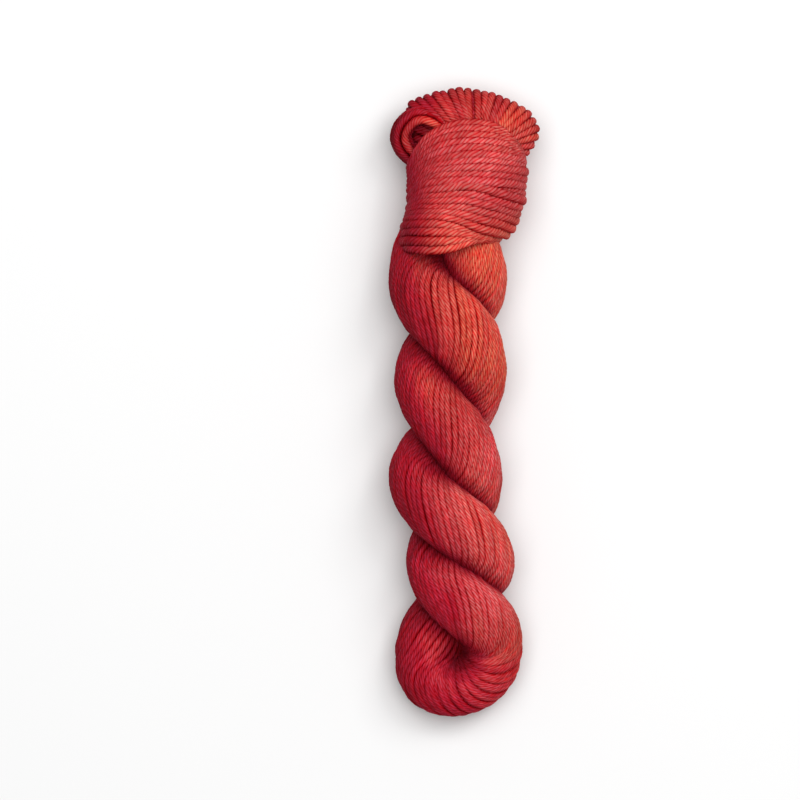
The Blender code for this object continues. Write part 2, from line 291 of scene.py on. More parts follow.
# ---------------------------------------------------------------- colours, linear
CORAL = np.array((0.515, 0.028, 0.025))
ORANGE = np.array((0.545, 0.033, 0.021))
PINK = np.array((0.515, 0.028, 0.035))
DEEP = np.array((0.37, 0.004, 0.013))
CREST = np.array((1.06, 5.80, 4.70))       # painted highlight: how much paler the crest of a ply is at most,
DULL_CREST = np.array((1.00, 2.85, 2.45))  # and at least,
GROOVE = np.array((0.90, 0.40, 0.50))      # painted shade: how much darker the wool between plies is,
SIDE_TINT = np.array((0.78, 0.06, 0.13))   # and painted shade down the sides of a strand
SIDE_COSINES = (0.25, 0.85)                # of the angles between which that fades out
# one ply of a strand: angle, radius over the strand's own, palest and dullest tint: painted
# highlight on the crest, painted shade in the groove
PLY_SECTION = (
    (-11.0, 1.0, CREST, DULL_CREST),
    (11.0, 1.0, CREST, DULL_CREST),
    (30.0, 0.68, GROOVE, GROOVE),
)
# the share of the deep colour: a little dye everywhere; painted shade down the left side, where
# the yarn faces left and towards the closed end, away from the light, on the last ply before the
# bend and round the bend; and more at the crown
DEEP_BASE, PAINTED_SHADE_LEFT, PAINTED_SHADE_FACING = 0.10, 0.50, 0.75
DEEP_CROWN, PAINTED_SHADE_PLY, PAINTED_SHADE_BEND = 0.30, 0.65, 0.60
DEEP_MOST = 0.92
SHADE_WAY = (-0.86, -0.36, 0.0)

# ---------------------------------------------------------------- meshes and their map
FLOOR_GAP = 0.02         # of the lowest points over the surface
PLY_WOBBLE = 0.30        # radians by which the plies' twist is uneven
THICKNESS_WOBBLE = 0.05
TIP_SIZES = (0.35, 0.85)  # a strand's ends are rounded off over two rings
GIRTH = 1.1              # length round the plies over that of a plain round strand
ROW_GAP = 1.25           # height of a row of strands on the map over a strand's own
ROW_SPARE = 1.08         # width of the rows over that of a square map
TIP_SHARE = 0.06         # length of a tip on the map over a strand's girth
MAP_SCALE, MAP_MARGIN = 0.998, 0.001

# ---------------------------------------------------------------- camera
MM_PER_PIXEL = 0.4762    # of the photo
PHOTO_PIXELS = 800
VIEW_PIXELS = (-64, 3)   # of the photo's middle, right of the hank's origin and up from it
VIEW_HEIGHT = 0.025      # metres, of the hank's widest section
CAMERA_HEIGHT = 2.4      # metres over that
LIT_POINT = (0.0, 0.0, 0.02)


# ---------------------------------------------------------------- curves and noise
def ramp(values, start, end):
    """0 up to the start, 1 from the end on, and even in between."""
    return np.clip((values - start) / (end - start), 0, 1)


def unit(vectors):
    return vectors / np.maximum(np.linalg.norm(vectors, axis=-1, keepdims=True), 1e-9)


def tangents(points):
    return unit(np.gradient(points, axis=0))


def lengths(points):
    """How far along a polyline each of its points is."""
    steps = np.linalg.norm(np.diff(points, axis=0), axis=1)
    return np.concatenate(([0.0], np.cumsum(steps)))


def hermite(t, span, start, start_slope, end, end_slope):
    """The cubic between two values with these slopes, at t from 0 to 1."""
    return (
        (2 * t**3 - 3 * t**2 + 1) * start
        + (t**3 - 2 * t**2 + t) * span * start_slope
        + (3 * t**2 - 2 * t**3) * end
        + (t**3 - t**2) * span * end_slope
    )


def smooth(knots, values, at):
    """Smooth curves through the rows of values at rising knots, read at many places."""
    knots = np.asarray(knots, float)
    values = np.asarray(values, float)
    if values.ndim == 1:
        return smooth(knots, values[:, None], at)[:, 0]
    last = len(knots) - 1
    low = np.maximum(np.arange(last + 1) - 1, 0)
    high = np.minimum(np.arange(last + 1) + 1, last)
    slope = (values[high] - values[low]) / (knots[high] - knots[low])[:, None]
    at = np.clip(at, knots[0], knots[-1])
    i = np.clip(np.searchsorted(knots, at, side="right") - 1, 0, last - 1)
    span = (knots[i + 1] - knots[i])[:, None]
    t = ((at - knots[i]) / span[:, 0])[:, None]
    return hermite(t, span, values[i], slope[i], values[i + 1], slope[i + 1])


def resample(points, step, *more):
    """Points at even steps along a polyline, with other columns read at the same places."""
    length = lengths(points)
    count = max(int(round(length[-1] / step)), 3)
    at = np.linspace(0.0, length[-1], count + 1)

    def read(column):
        if column.ndim == 1:
            return np.interp(at, length, column)
        return np.stack([np.interp(at, length, one) for one in column.T], 1)

    return [read(points)] + [read(np.asarray(column, float)) for column in more]


def slow_noise(rng, at, longest, shortest, waves=4):
    """Smooth noise of about unit size along a length."""
    total = np.zeros_like(at)
    for wavelength in np.geomspace(longest, shortest, waves):
        wave = np.sin(2 * np.pi * at / wavelength + rng.uniform(0, 2 * np.pi))
        total += wave * rng.uniform(0.5, 1)
    return total / math.sqrt(waves / 2)


def patch_noise(rng, points, size, waves=10):
    """Smooth noise of about unit size in space, with patches of a given size."""
    total = np.zeros(len(points))
    for _ in range(waves):
        direction = unit(rng.normal(size=3)) / (size * rng.uniform(0.7, 1.6))
        total += np.sin(2 * np.pi * points @ direction + rng.uniform(0, 2 * np.pi))
    return total / math.sqrt(waves / 2)


def soften(points, reach):
    """Points a rope's step apart, with any corner shorter than a reach rounded off."""
    span = int(2.5 * reach / ROPE_STEP)     # farther off, the weights have died out
    weights = np.exp(-0.5 * (np.arange(-span, span + 1) * ROPE_STEP / reach) ** 2)
    weights = weights / weights.sum()
    before = 2 * points[0] - points[span:0:-1]
    after = 2 * points[-1] - points[-2:-span - 2:-1]
    run = np.concatenate([before, points, after])
    return np.stack([np.convolve(column, weights, "valid") for column in run.T], 1)


def steady_frames(points):
    """(normals, binormals) along a curve that don't turn about it."""
    along = tangents(points)
    start = np.cross(along[0], (0.0, 1.0, 0.0))
    if np.linalg.norm(start) < 0.1:
        start = np.cross(along[0], (1.0, 0.0, 0.0))
    normals = np.empty_like(points)
    normals[0] = unit(start)
    for i in range(1, len(points)):
        step = points[i] - points[i - 1]
        size = step @ step
        turned = normals[i - 1] - (2 / size) * (step @ normals[i - 1]) * step
        tangent = along[i - 1] - (2 / size) * (step @ along[i - 1]) * step
        correct = along[i] - tangent
        size = correct @ correct
        if size > 1e-14:
            turned = turned - (2 / size) * (correct @ turned) * correct
        normals[i] = unit(turned - (turned @ along[i]) * along[i])
    return normals, np.cross(along, normals)


# ---------------------------------------------------------------- strands on the form
class Strand:
    """One visible run of yarn: its centreline, which way is out, and its dye."""

    def __init__(self, points, outward, tone=0.0, pink=0.0, size=1.0, pitch=PLY_PITCH, order=0):
        self.pink = pink
        self.pitch = pitch
        self.order = order
        size = np.broadcast_to(size, len(points))
        tone = np.interp(np.linspace(0, 1, len(points)),
                         np.linspace(0, 1, np.size(tone)), np.atleast_1d(tone))
        self.points, self.outward, self.size, self.tone = resample(
            np.asarray(points, float), YARN_STEP, outward, size, tone)


def runs(mask, shortest):
    """(first, last) of each stretch of true values."""
    edges = np.flatnonzero(np.diff(np.concatenate(([0], mask.astype(int), [0]))))
    pairs = zip(edges[::2], edges[1::2])
    return [(first, last) for first, last in pairs if last - first >= shortest]


def rope_path():
    """(points, radii) down the second ply, round the U-turn and up the first ply."""
    table = np.array(ROPE_ROWS)[::-1]
    heights = np.arange(ROPE_ROWS[0][0], ROPE_ROWS[-1][0] - LAST_TOO, -HEIGHT_STEP)
    half, axis_x, helix, first, second, drop = smooth(table[:, 0], table[:, 1:], heights).T

    def leg(ply):
        turn = np.pi * (half + ply)
        depth = helix * np.sin(turn) - drop / ROPE_DEPTH
        return np.stack([axis_x + helix * np.cos(turn), heights, depth], 1)

    places = np.arange(0.0, len(BEND_ROWS) - 1 + LAST_TOO, BEND_STEP)
    x, y, bend_radius, bend_drop = smooth(np.arange(len(BEND_ROWS)), BEND_ROWS, places).T
    bend = np.stack([x, y, -bend_drop / ROPE_DEPTH], 1)
    points = np.concatenate([leg(1), bend, leg(0)[::-1]])
    radii = np.concatenate([second, bend_radius, first[::-1]])
    points, radii = resample(points, ROPE_STEP, radii)
    return soften(points, ROPE_SOFTNESS), radii


def settle(points):
    """The rope settles to its depth, and what would be under the surface is pressed flat."""
    settled = points * (1.0, 1.0, ROPE_DEPTH) + (0.0, 0.0, AXIS_HEIGHT)
    return press(sink(settled))


def other_ply(points, near=None):
    """How deep points lie in the ply of the rope that they aren't on."""
    centre, radii = ROPE
    length = np.arange(len(centre)) * ROPE_STEP
    depth = np.empty(len(points))
    batch = 64      # points at a time, to save memory
    for i in range(0, len(points), batch):
        gap = np.linalg.norm(points[i:i + batch, None, :] - centre[None, :, :], axis=2)
        inside = radii[None, :] - gap
        if near is None:
            own = length[inside.argmax(axis=1)]
        else:
            own = near[i:i + batch]
        same = np.abs(own[:, None] - length[None, :]) < SAME_PLY
        depth[i:i + batch] = np.where(same, OWN_PLY, inside).max(axis=1)
    return depth


def crease(points, depth):
    """Draws the turns in towards the rope's axis where one ply meets the other."""
    table = np.array(ROPE_ROWS)[::-1]
    axis_x = smooth(table[:, 0], table[:, 2], points[:, 1])
    inward = points - np.stack([axis_x, points[:, 1], 0 * axis_x], 1)
    reach = np.clip(np.linalg.norm(inward, axis=1), CREASE_REACH, None)[:, None]
    close = ramp(depth, -CREASE_WIDTH, 0.0)
    close = close * close * (3 - 2 * close)
    # by the bend they are drawn straight down, not aside
    aside = ramp(points[:, 1], BEND_Y, BEND_Y + BEND_FADE)
    inward[:, 0] *= np.maximum(aside, LEAST_ASIDE)
    above = ramp(np.abs(points[:, 2]), 0.0, CREASE_RISE) ** 2
    return points - inward / reach * (CREASE_DEPTH * close * above)[:, None]


def sink(points):
    """Where turns gather: what is near the gathering slides to the dimple and sinks in it."""
    sunk = points.copy()
    for pole, place, spread, depth, width in DIMPLES:
        top = ramp(sunk[:, 2], DIMPLE_TOP, 2 * DIMPLE_TOP)[:, None]
        apart = np.linalg.norm(sunk[:, :2] - pole, axis=1)[:, None]
        sunk[:, :2] += np.subtract(place, pole) * top * np.exp(-(apart / spread) ** 2)
        apart = np.linalg.norm(sunk[:, :2] - place, axis=1)
        sunk[:, 2] -= depth * top[:, 0] * np.exp(-(apart / width) ** 2)
    return sunk


def press(points):
    """No strand's middle is nearer to the surface than a strand's half height."""
    points = points.copy()
    points[:, 2] = np.maximum(points[:, 2], YARN / 2 * YARN_HIGH)
    return points


def shadows(points, depth):
    """How near to a crease's bottom and to the dimple's points are, each from 0 to 1: where
    painted shade darkens them.
    """
    width = CREASE_SHADE + LEFT_SHADE * ramp(points[:, 0], -3.0, -15.0)
    in_crease = np.clip((depth + width - 1.0) / width, 0, 1)
    apart = np.linalg.norm(settle(points)[:, :2] - DIMPLES[0][1], axis=1)
    return in_crease, np.exp(-(apart / DIMPLE_SHADE) ** 2)


def rope_strands(rng):
    """The turns of the doubled rope, each cut where it dives between the two plies."""
    centre, radii = ROPE
    normal, binormal = steady_frames(centre)
    length = lengths(centre)
    spacing = 2 * np.pi / ROPE_STRANDS
    knots, rates, uneven = np.array(ROPE_TURNS).T
    wound = np.cumsum(smooth(knots, rates, length) * np.gradient(length))
    uneven = smooth(knots, uneven, length)
    # wool fills out where the turns have room, and is pressed thin where they crowd
    room = 2 * np.pi * (radii - YARN / 2) / ROPE_STRANDS
    thinnest = 0.84 - 0.03 * uneven.clip(0, 1.5)
    thickest = 1.1
    strands = []
    # neighbours wander together
    wanders = [slow_noise(rng, length, 150.0, 30.0) for _ in range(ROPE_STRANDS)]
    for k in range(ROPE_STRANDS):
        beside = wanders[k - 1] + wanders[(k + 1) % ROPE_STRANDS]
        wander = spacing * TURN_WANDER * (2 * wanders[k] + beside) / 3
        lift = TURN_LIFT * slow_noise(rng, length, 110.0, 18.0)
        lift = lift + uneven * (OTHERS_RISE - (k % 3 == 1))
        turn = spacing * (k + rng.uniform(-TURN_JITTER, TURN_JITTER)) + wound + wander
        out = normal * np.cos(turn)[:, None] + binormal * np.sin(turn)[:, None]
        points = centre + out * (radii - TURN_INSET * YARN + lift)[:, None]
        depth = other_ply(points, length)
        hidden = (depth > HIDDEN_DEPTH * YARN) | (points[:, 1] > HIDDEN_Y)
        points = crease(points, depth)
        # painted shade: the turns are darker in the creases and round the dimple
        in_crease, in_dimple = shadows(points, depth)
        tone = rng.normal(0.0, TURN_TONE)
        tone = tone - SHADE_TONE * in_crease * in_crease - SHADE_TONE * in_dimple
        pink = rng.normal(0.0, TURN_TONE)
        for first, last in runs(~hidden, SHORTEST_RUN):
            part = slice(first, last)
            outward = out[part] * (1.0, 1.0, 1.0 / ROPE_DEPTH)
            course = np.linalg.norm(np.gradient(points[part], axis=0), axis=1)
            straight = (np.gradient(length)[part] / course).clip(0.3, 1.0)
            size = room[part] * straight * TURN_FILL / YARN
            size = size.clip(thinnest[part], thickest)
            path = soften(settle(points[part]), TURN_SOFTNESS)
            strands.append(Strand(path, outward, tone[part], pink, size, order=k))
    return strands


def collar_point(row, turn):
    """(height, angle, middle, half width, depth) of the collar's form at a row and a turn."""
    table = smooth(np.arange(len(COLLAR_ROWS)), COLLAR_ROWS, row)
    count = len(COLLAR_STATIONS)
    knots = np.array(COLLAR_STATIONS + (360.0,))
    heights = np.concatenate([table[:, :count], table[:, :1]], axis=1)
    span = np.diff(knots)
    i = np.clip(np.searchsorted(knots, turn, side="right") - 1, 0, count - 1)
    t = (turn - knots[i]) / span[i]
    pick = np.arange(len(turn))
    before = heights[pick, (i - 1) % count]
    here = heights[pick, i]
    there = heights[pick, i + 1]
    after = heights[pick, (i + 2) % count]
    slope_here = (there - before) / (span[(i - 1) % count] + span[i])
    slope_there = (after - here) / (span[i] + span[(i + 1) % count])
    y = hermite(t, span[i], here, slope_here, there, slope_there)
    right, left, depth = table[:, count:].T
    return y, np.radians(turn), (right + left) / 2, (right - left) / 2, depth


def collar_strands(rng):
    """The collar: one strand wound from the top rim down, stepping to the next turn behind."""
    form = np.array(COLLAR_ROWS)
    knots, rows, lifts = [], [], []
    # a turn's column, the station it is at, and that station's column in the form
    for k, turn in enumerate(COLLAR_TURNS):
        for place, station, column in ((1, 0.0, 0), (0, 90.0, 2), (2, 180.0, 4)):
            knots.append(360.0 * k + station)
            rows.append(np.interp(-turn[place], -form[:, column], np.arange(len(form))))
            lifts.append(turn[place + 3])
    turn = np.arange(-COLLAR_TAIL, knots[-1] + COLLAR_TAIL + 1.0, COLLAR_STEP)
    inside = np.clip(turn, knots[0], knots[-1])
    row = smooth(knots, rows, inside)
    lift = smooth(knots, lifts, inside) + COLLAR_UNEVEN * slow_noise(rng, turn, 500.0, 60.0)
    shift = COLLAR_SHIFT * slow_noise(rng, turn, 420.0, 70.0)
    y, angle, middle, half_width, depth = collar_point(row, turn % 360.0)
    inset = YARN / 2 - lift
    x = middle + (half_width - inset) * np.cos(angle)
    z = AXIS_HEIGHT + COLLAR_LIFT + (depth - inset) * np.sin(angle)
    out = np.stack([np.cos(angle) / half_width, 0 * angle, np.sin(angle) / depth], 1)
    points = press(np.stack([x, y + shift, z], 1))
    # wool fills out where the next turns leave it room
    around = int(round(360.0 / COLLAR_STEP))
    room = np.linalg.norm(points[around:] - points[:-around], axis=1)
    no_room = np.full(around, YARN)
    room = (np.append(room, no_room) + np.append(no_room, room)) / 2
    size = (room * COLLAR_FILL / YARN).clip(0.96, 1.30)
    return [Strand(points, unit(out), 0.15, 0.5, size)]


def fan_loop(angle, inset):
    """(points, outward) of one loop of the crown, from its front root over to its back one."""
    table = np.array(FAN_ROWS)[::-1]
    reach, half_depth = smooth(table[:, 0], table[:, 1:], np.array([angle]))[0] - inset
    turn = np.linspace(-math.pi / 2, math.pi / 2, LOOP_POINTS)
    power = 2 / FAN_FLATNESS
    out = np.cos(turn).clip(0) ** power * (reach - FAN_ROOT) + FAN_ROOT
    up = np.sign(np.sin(turn)) * np.abs(np.sin(turn)) ** power * half_depth
    away = np.array((math.cos(math.radians(angle)), math.sin(math.radians(angle)), 0.0))
    points = np.stack([
        FAN_CENTRE[0] + away[0] * out,
        FAN_CENTRE[1] + away[1] * out,
        AXIS_HEIGHT - CROWN_DROP + up,
    ], 1)[::-1]
    outward = unit(np.cross(tangents(points), (-away[1], away[0], 0.0)))
    if outward[LOOP_POINTS // 2] @ away < 0:
        outward = -outward
    return points, outward


def crown_strands(rng):
    """The crown: outer loops side by side, and a layer of loops that shows between them."""
    angles = np.linspace(CROWN_FIRST, CROWN_LAST, 400)
    table = np.array(FAN_ROWS)[::-1]
    reach = smooth(table[:, 0], table[:, 1], angles)
    crest = np.stack([reach * np.cos(np.radians(angles)), reach * np.sin(np.radians(angles))], 1)
    length = lengths(crest)
    end = length[-1]
    pitch = end / (CROWN_LOOPS - 1)
    strands = []
    for k in range(CROWN_LOOPS):
        at = np.clip((k + rng.uniform(-CROWN_JITTER, CROWN_JITTER)) * pitch, 0, end)
        angle = np.interp(at, length, angles)
        inset = YARN / 2 - CROWN_PROUD + rng.uniform(-CROWN_UNEVEN, CROWN_UNEVEN)
        points, outward = fan_loop(angle, inset)
        lean = rng.normal(0.0, LEAN_SPREAD) + CROWN_LEAN
        points[:, 0] += lean * np.linspace(1, -1, len(points))
        # the loop's own tone, with painted shade at its crest and painted light to the right
        tone = rng.normal(0.0, 0.4) + CREST_SHADE_TONES + PAINTED_LIGHT_RIGHT * ramp(angle, 95.0, 45.0)
        strands.append(Strand(points, outward, tone, rng.normal(0.0, 0.4), 1.02, LOOP_PITCH))
    for angle in DEEP_LOOPS:
        points, outward = fan_loop(angle, YARN / 2 + DEEP_INSET)
        pink = rng.normal(0.0, 0.3)
        strands.append(Strand(points, outward, DEEP_TONE, pink, 1.1, LOOP_PITCH))
    for angle in SIDE_LOOPS:
        points, outward = fan_loop(angle, YARN / 2)
        tone, pink = rng.normal(0.1, 0.3), rng.normal(0.2, 0.3)
        strands.append(Strand(points, outward, tone, pink, 1.05, LOOP_PITCH))
    for k in range(CROWN_LOOPS + 3):
        at = (k - 1.5) * pitch
        angle = np.interp(at, length, angles)
        if at < 0:
            angle = CROWN_FIRST - at / pitch * PAST_FIRST
        if at > end:
            angle = CROWN_LAST - (at - end) / pitch * PAST_LAST
        points, outward = fan_loop(angle, YARN / 2 + INNER_INSET + rng.uniform(-0.3, 0.3))
        tone, pink = rng.normal(INNER_TONE, 0.3), rng.normal(0.0, 0.4)
        strands.append(Strand(points, outward, tone, pink))
    for angle in LOW_LOOPS:
        points, outward = fan_loop(angle, YARN / 2)
        tucked, _ = fan_loop(angle, YARN / 2 + LOW_TUCK)
        under = np.clip(1 - (np.arange(LOOP_POINTS) - LOW_START) / LOW_FADE, 0, 1)[:, None]
        points = (points * (1 - under) + tucked * under)[LOW_START:]
        strands.append(Strand(points, outward[LOW_START:], LOW_TONE, 0.0, 1.05, LOOP_PITCH))
    return strands


def slipped_strands(rng):
    """The loops that have slipped over the collar's left shoulder, side by side."""
    fine = np.linspace(0, 1, LOCK_POINTS)
    route = smooth(np.linspace(0, 1, len(SLIPPED_ROUTE)), SLIPPED_ROUTE, fine)
    along = tangents(route)
    outside = unit(np.cross(along, (0.0, 0.0, 1.0)))
    up = np.cross(outside, along)
    up *= np.sign(up[:, 2:3])
    middle = LOCK_POINTS // 2
    outside *= np.sign(outside[middle, 0] * (route[middle, 0] - route[0, 0]))
    length = lengths(route)
    strands = []
    for *places, size, tone in SLIPPED_LOOPS:
        apart = smooth(LOCK_STATIONS, places[:3], fine)
        apart = (apart + 0.3 * slow_noise(rng, length, 60.0, 25.0, 3))[:, None]
        over = smooth(LOCK_STATIONS, places[3:], fine)[:, None]
        points = route + (0.0, 0.0, AXIS_HEIGHT) + outside * apart + up * over
        outward = unit(outside * (apart - LOCK_MIDDLE[0]) + up * (over - LOCK_MIDDLE[1]))
        # painted shade: darker towards the collar, where the lock goes down into shade
        tones = (tone, tone, tone - 1.2, tone - 2.4)
        pink = rng.normal(-0.2, 0.3)
        strands.append(Strand(points, outward, tones, pink, size, LOOP_PITCH))
    return strands


# ---------------------------------------------------------------- meshes
def section():
    """(angles, radii, palest tints, dullest tints) round a strand, ply by ply."""
    rows = [(math.radians(360.0 * ply / PLIES + angle), radius, palest, dullest)
            for ply in range(PLIES) for angle, radius, palest, dullest in PLY_SECTION]
    return [np.array(column) for column in zip(*rows)]


def dye_and_painted_light(seed, strand):
    """The colour of the yarn along a strand: semi-solid, with slow changes of hue, and painted
    shade.
    """
    points = strand.points
    x, y = points[:, 0], points[:, 1]
    warm = patch_noise(np.random.default_rng(11), points, 70.0)
    light = patch_noise(np.random.default_rng(12), points, 48.0)
    length = np.arange(len(points)) * YARN_STEP
    own = slow_noise(np.random.default_rng(seed), length, 160.0, 35.0)
    low = ramp(y, -50.0, -110.0)
    # shares of the two other hues: in all, by patch, by strand, along it, and low down
    pink = 0.30 + 0.22 * warm + 0.25 * strand.pink + 0.12 * own + 0.5 * low
    pink = np.clip(pink, 0, 1)[:, None]
    orange = 0.35 - 0.25 * warm - 0.2 * strand.pink + 0.15 * own - 0.4 * low
    orange = np.clip(orange, 0, 1)[:, None]
    colour = CORAL * (1 - orange) + ORANGE * orange
    colour = colour * (1 - pink) + PINK * pink
    # where the colour is deep: painted shade down the left side, where the yarn faces away from
    # the light, on the last ply before the bend and round the bend; more at the crown; and by
    # each strand's tone, which holds painted shade too
    left = ramp(x, -8.0, -26.0)
    facing = np.clip(strand.outward @ SHADE_WAY + 0.05, 0, 1)
    crown = ramp(y, 128.0, 138.0)
    shaded_last_ply = np.exp(-((y + 94.0) / 15.0) ** 2) * ramp(x, 8.0, -4.0)
    bend = ramp(y, BEND_Y, BEND_Y - 20.0)
    deep = DEEP_BASE + PAINTED_SHADE_LEFT * left + PAINTED_SHADE_FACING * facing + DEEP_CROWN * crown
    deep = deep + PAINTED_SHADE_PLY * shaded_last_ply + PAINTED_SHADE_BEND * bend
    deep -= 0.12 * light + 0.16 * strand.tone
    deep = np.clip(deep, 0, DEEP_MOST)[:, None]
    colour = colour * (1 - deep) + DEEP * deep
    # lighter or darker at random, and painted shade down the left side where the yarn faces away
    # from the light, and on the last ply
    shade = 1.0 + 0.05 * light + 0.08 * strand.tone + 0.06 * own
    shade = shade - 0.30 * left * facing - 0.10 * shaded_last_ply
    return colour * np.clip(shade, 0.5, 1.25)[:, None]


def strand_rings(rng, strand):
    """(rings of points round a strand, how far round from outward each of them is)."""
    points = strand.points
    along = tangents(points)
    out = unit(strand.outward - (strand.outward * along).sum(1, keepdims=True) * along)
    side = np.cross(along, out)
    length = np.arange(len(points)) * YARN_STEP
    wobble = PLY_WOBBLE * slow_noise(rng, length, 60.0, 9.0)
    phase = rng.uniform(0, 2 * math.pi) - 2 * math.pi * length / strand.pitch + wobble
    uneven = 1 + THICKNESS_WOBBLE * slow_noise(rng, length, 40.0, 7.0)
    thick = YARN / 2 * strand.size * uneven
    thick[[0, -1]] *= TIP_SIZES[0]
    thick[[1, -2]] *= TIP_SIZES[1]
    turn = ANGLES[None, :] + phase[:, None]
    reach = RADII[None, :] * thick[:, None]
    rings = (
        points[:, None, :]
        + (reach * np.cos(turn) * YARN_HIGH)[:, :, None] * out[:, None, :]
        + (reach * np.sin(turn) * YARN_WIDE)[:, :, None] * side[:, None, :]
    )
    rings[:, :, 2] = np.maximum(rings[:, :, 2], FLOOR_GAP)
    return rings, turn


def ply_tints(rng, turn):
    """What the dye is multiplied by round and along a strand: painted highlights on pale crests,
    painted shade in darker grooves.
    """
    length = np.arange(len(turn)) * YARN_STEP
    pale = np.stack([0.5 + 0.5 * slow_noise(rng, length, 17.0, 3.2) for _ in range(PLIES)], 1)
    pale = np.repeat(pale, len(PLY_SECTION), axis=1).clip(0, 1)[:, :, None]
    tint = PALEST[None] * pale + DULLEST[None] * (1 - pale)
    # painted shade: purer, darker red down the sides of a strand, where it meets the next
    facing = ramp(np.cos(turn), *SIDE_COSINES)[:, :, None]
    return tint * (SIDE_TINT + (1 - SIDE_TINT) * facing)


def two_triangles(a, b, c, d):
    """Each four-sided face a, b, d, c as two triangles."""
    return np.stack([np.stack([a, b, d], 2), np.stack([a, d, c], 2)], 2)


def tube_faces(count, base):
    """Triangles of a closed tube of rings, with its two tips numbered after its rings."""
    sides = len(ANGLES)
    ends = np.arange(sides)
    following = (ends + 1) % sides
    ring = base + np.arange(count - 1)[:, None] * sides
    a, b = ring + ends, ring + following
    body = two_triangles(a, b, a + sides, b + sides).reshape(-1, 3)
    last = base + (count - 1) * sides
    tips = np.full((2, sides), base + count * sides) + [[0], [1]]
    start_cap = np.stack([tips[0], base + following, base + ends], 1)
    end_cap = np.stack([tips[1], last + ends, last + following], 1)
    return np.concatenate([body, start_cap, end_cap])


def tube_map(u, v, tip):
    """The same triangles on a flat map, which runs along the strand in u and round it in v."""
    corner = np.stack(np.meshgrid(u, v, indexing="ij"), 2)
    body = two_triangles(corner[:-1, :-1], corner[:-1, 1:], corner[1:, :-1], corner[1:, 1:])
    middle = (v[:-1] + v[1:]) / 2

    def cap(rim, point, one, other):
        across = np.stack([middle, one, other], 1)
        along = np.broadcast_to((point, rim, rim), across.shape)
        return np.stack([along, across], 2)

    start_cap = cap(u[0], u[0] - tip, v[1:], v[:-1])
    end_cap = cap(u[-1], u[-1] + tip, v[:-1], v[1:])
    return np.concatenate([body.reshape(-1, 3, 2), start_cap, end_cap])


def add_piece(name, mesh, material):
    piece = bpy.data.objects.new(name, mesh)
    bpy.context.scene.collection.objects.link(piece)
    mesh.materials.append(material)
    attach(piece, "root")
    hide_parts("hank")


def yarn_piece(name, strands, seed):
    """One mesh of closed, plied strands, with a compact map along each strand."""
    sides = len(ANGLES)
    rng = np.random.default_rng(seed)
    total_length = sum(len(strand.points) * YARN_STEP for strand in strands)
    around = math.pi * YARN * GIRTH
    tip = around * TIP_SHARE
    row_height = around * ROW_GAP
    row_width = math.sqrt(total_length * row_height) * ROW_SPARE
    verts, faces, uvs, colours = [], [], [], []
    base = 0
    u0 = v0 = 0.0
    for index, strand in enumerate(strands):
        count = len(strand.points)
        rings, turn = strand_rings(rng, strand)
        verts += [rings.reshape(-1, 3), strand.points[[0, -1]]]
        faces.append(tube_faces(count, base))
        base += count * sides + 2
        length = np.arange(count) * YARN_STEP
        run = length[-1]
        if u0 + run > row_width and u0 > 0:
            u0, v0 = 0.0, v0 + row_height
        # the map's v follows the plies, so it stays straight along each of them
        v = v0 + around * np.arange(sides + 1) / sides
        uvs.append(tube_map(u0 + length, v, tip))
        u0 += run + 4 * tip
        # the dye with its painted shade, times the plies' painted highlights and shade
        colour = dye_and_painted_light(seed * 1000 + index, strand)
        tinted = colour[:, None, :] * ply_tints(rng, turn)
        colours += [tinted.reshape(-1, 3), colour[[0, -1]]]
    verts = np.concatenate(verts) * MM
    faces = np.concatenate(faces)
    uvs = np.concatenate(uvs).reshape(-1, 2)
    uvs = uvs - uvs.min(axis=0)
    uvs = uvs / uvs.max() * MAP_SCALE + MAP_MARGIN
    colours = np.concatenate(colours)
    colours = np.concatenate([colours, np.ones((len(colours), 1))], 1)
    mesh = bpy.data.meshes.new(name)
    mesh.vertices.add(len(verts))
    mesh.vertices.foreach_set("co", verts.astype(np.float32).ravel())
    mesh.loops.add(len(faces) * 3)
    mesh.loops.foreach_set("vertex_index", faces.astype(np.int32).ravel())
    mesh.polygons.add(len(faces))
    mesh.polygons.foreach_set("loop_start", np.arange(0, len(faces) * 3, 3, dtype=np.int32))
    mesh.polygons.foreach_set("use_smooth", np.ones(len(faces), bool))
    mesh.update(calc_edges=True)
    layer = mesh.uv_layers.new(name="OFBake")
    layer.data.foreach_set("uv", uvs.astype(np.float32).ravel())
    attribute = mesh.attributes.new("dye_and_painted_light", "FLOAT_COLOR", "POINT")
    attribute.data.foreach_set("color", colours.astype(np.float32).ravel())
    mesh.validate()
    add_piece(name, mesh, WOOL)


def core_piece():
    """The mass of turns under the outer ones: the hank's form, drawn in by part of a strand."""
    mesh = bpy.data.meshes.new("inner_turns")
    form = bmesh.new()
    form.from_mesh(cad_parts["hank"].data)
    bmesh.ops.remove_doubles(form, verts=form.verts[:], dist=0.02 * MM)
    form.normal_update()
    drawn_in = np.array([v.co - v.normal * CORE_INSET * MM for v in form.verts]) / MM
    # the same creases and dimples as the turns over it have
    scale, rise = (1.0, 1.0, ROPE_DEPTH), (0.0, 0.0, AXIS_HEIGHT)
    plain = (drawn_in - rise) / scale
    creased = crease(plain, other_ply(plain)) * scale + rise
    on_rope = drawn_in[:, 1:2] < CORE_CREASE_Y
    for v, place in zip(form.verts, sink(np.where(on_rope, creased, drawn_in)) * MM):
        v.co = place
    for face in form.faces:
        face.smooth = True
    form.to_mesh(mesh)
    form.free()
    add_piece("inner_turns", mesh, core_material())


# ---------------------------------------------------------------- materials
def new_material(name, roughness, specular):
    """(material, its shader) of a matt surface."""
    material = bpy.data.materials.new(name)
    material.use_nodes = True
    shader = material.node_tree.nodes["Principled BSDF"]
    shader.inputs["Roughness"].default_value = roughness
    shader.inputs["Specular IOR Level"].default_value = specular
    return material, shader


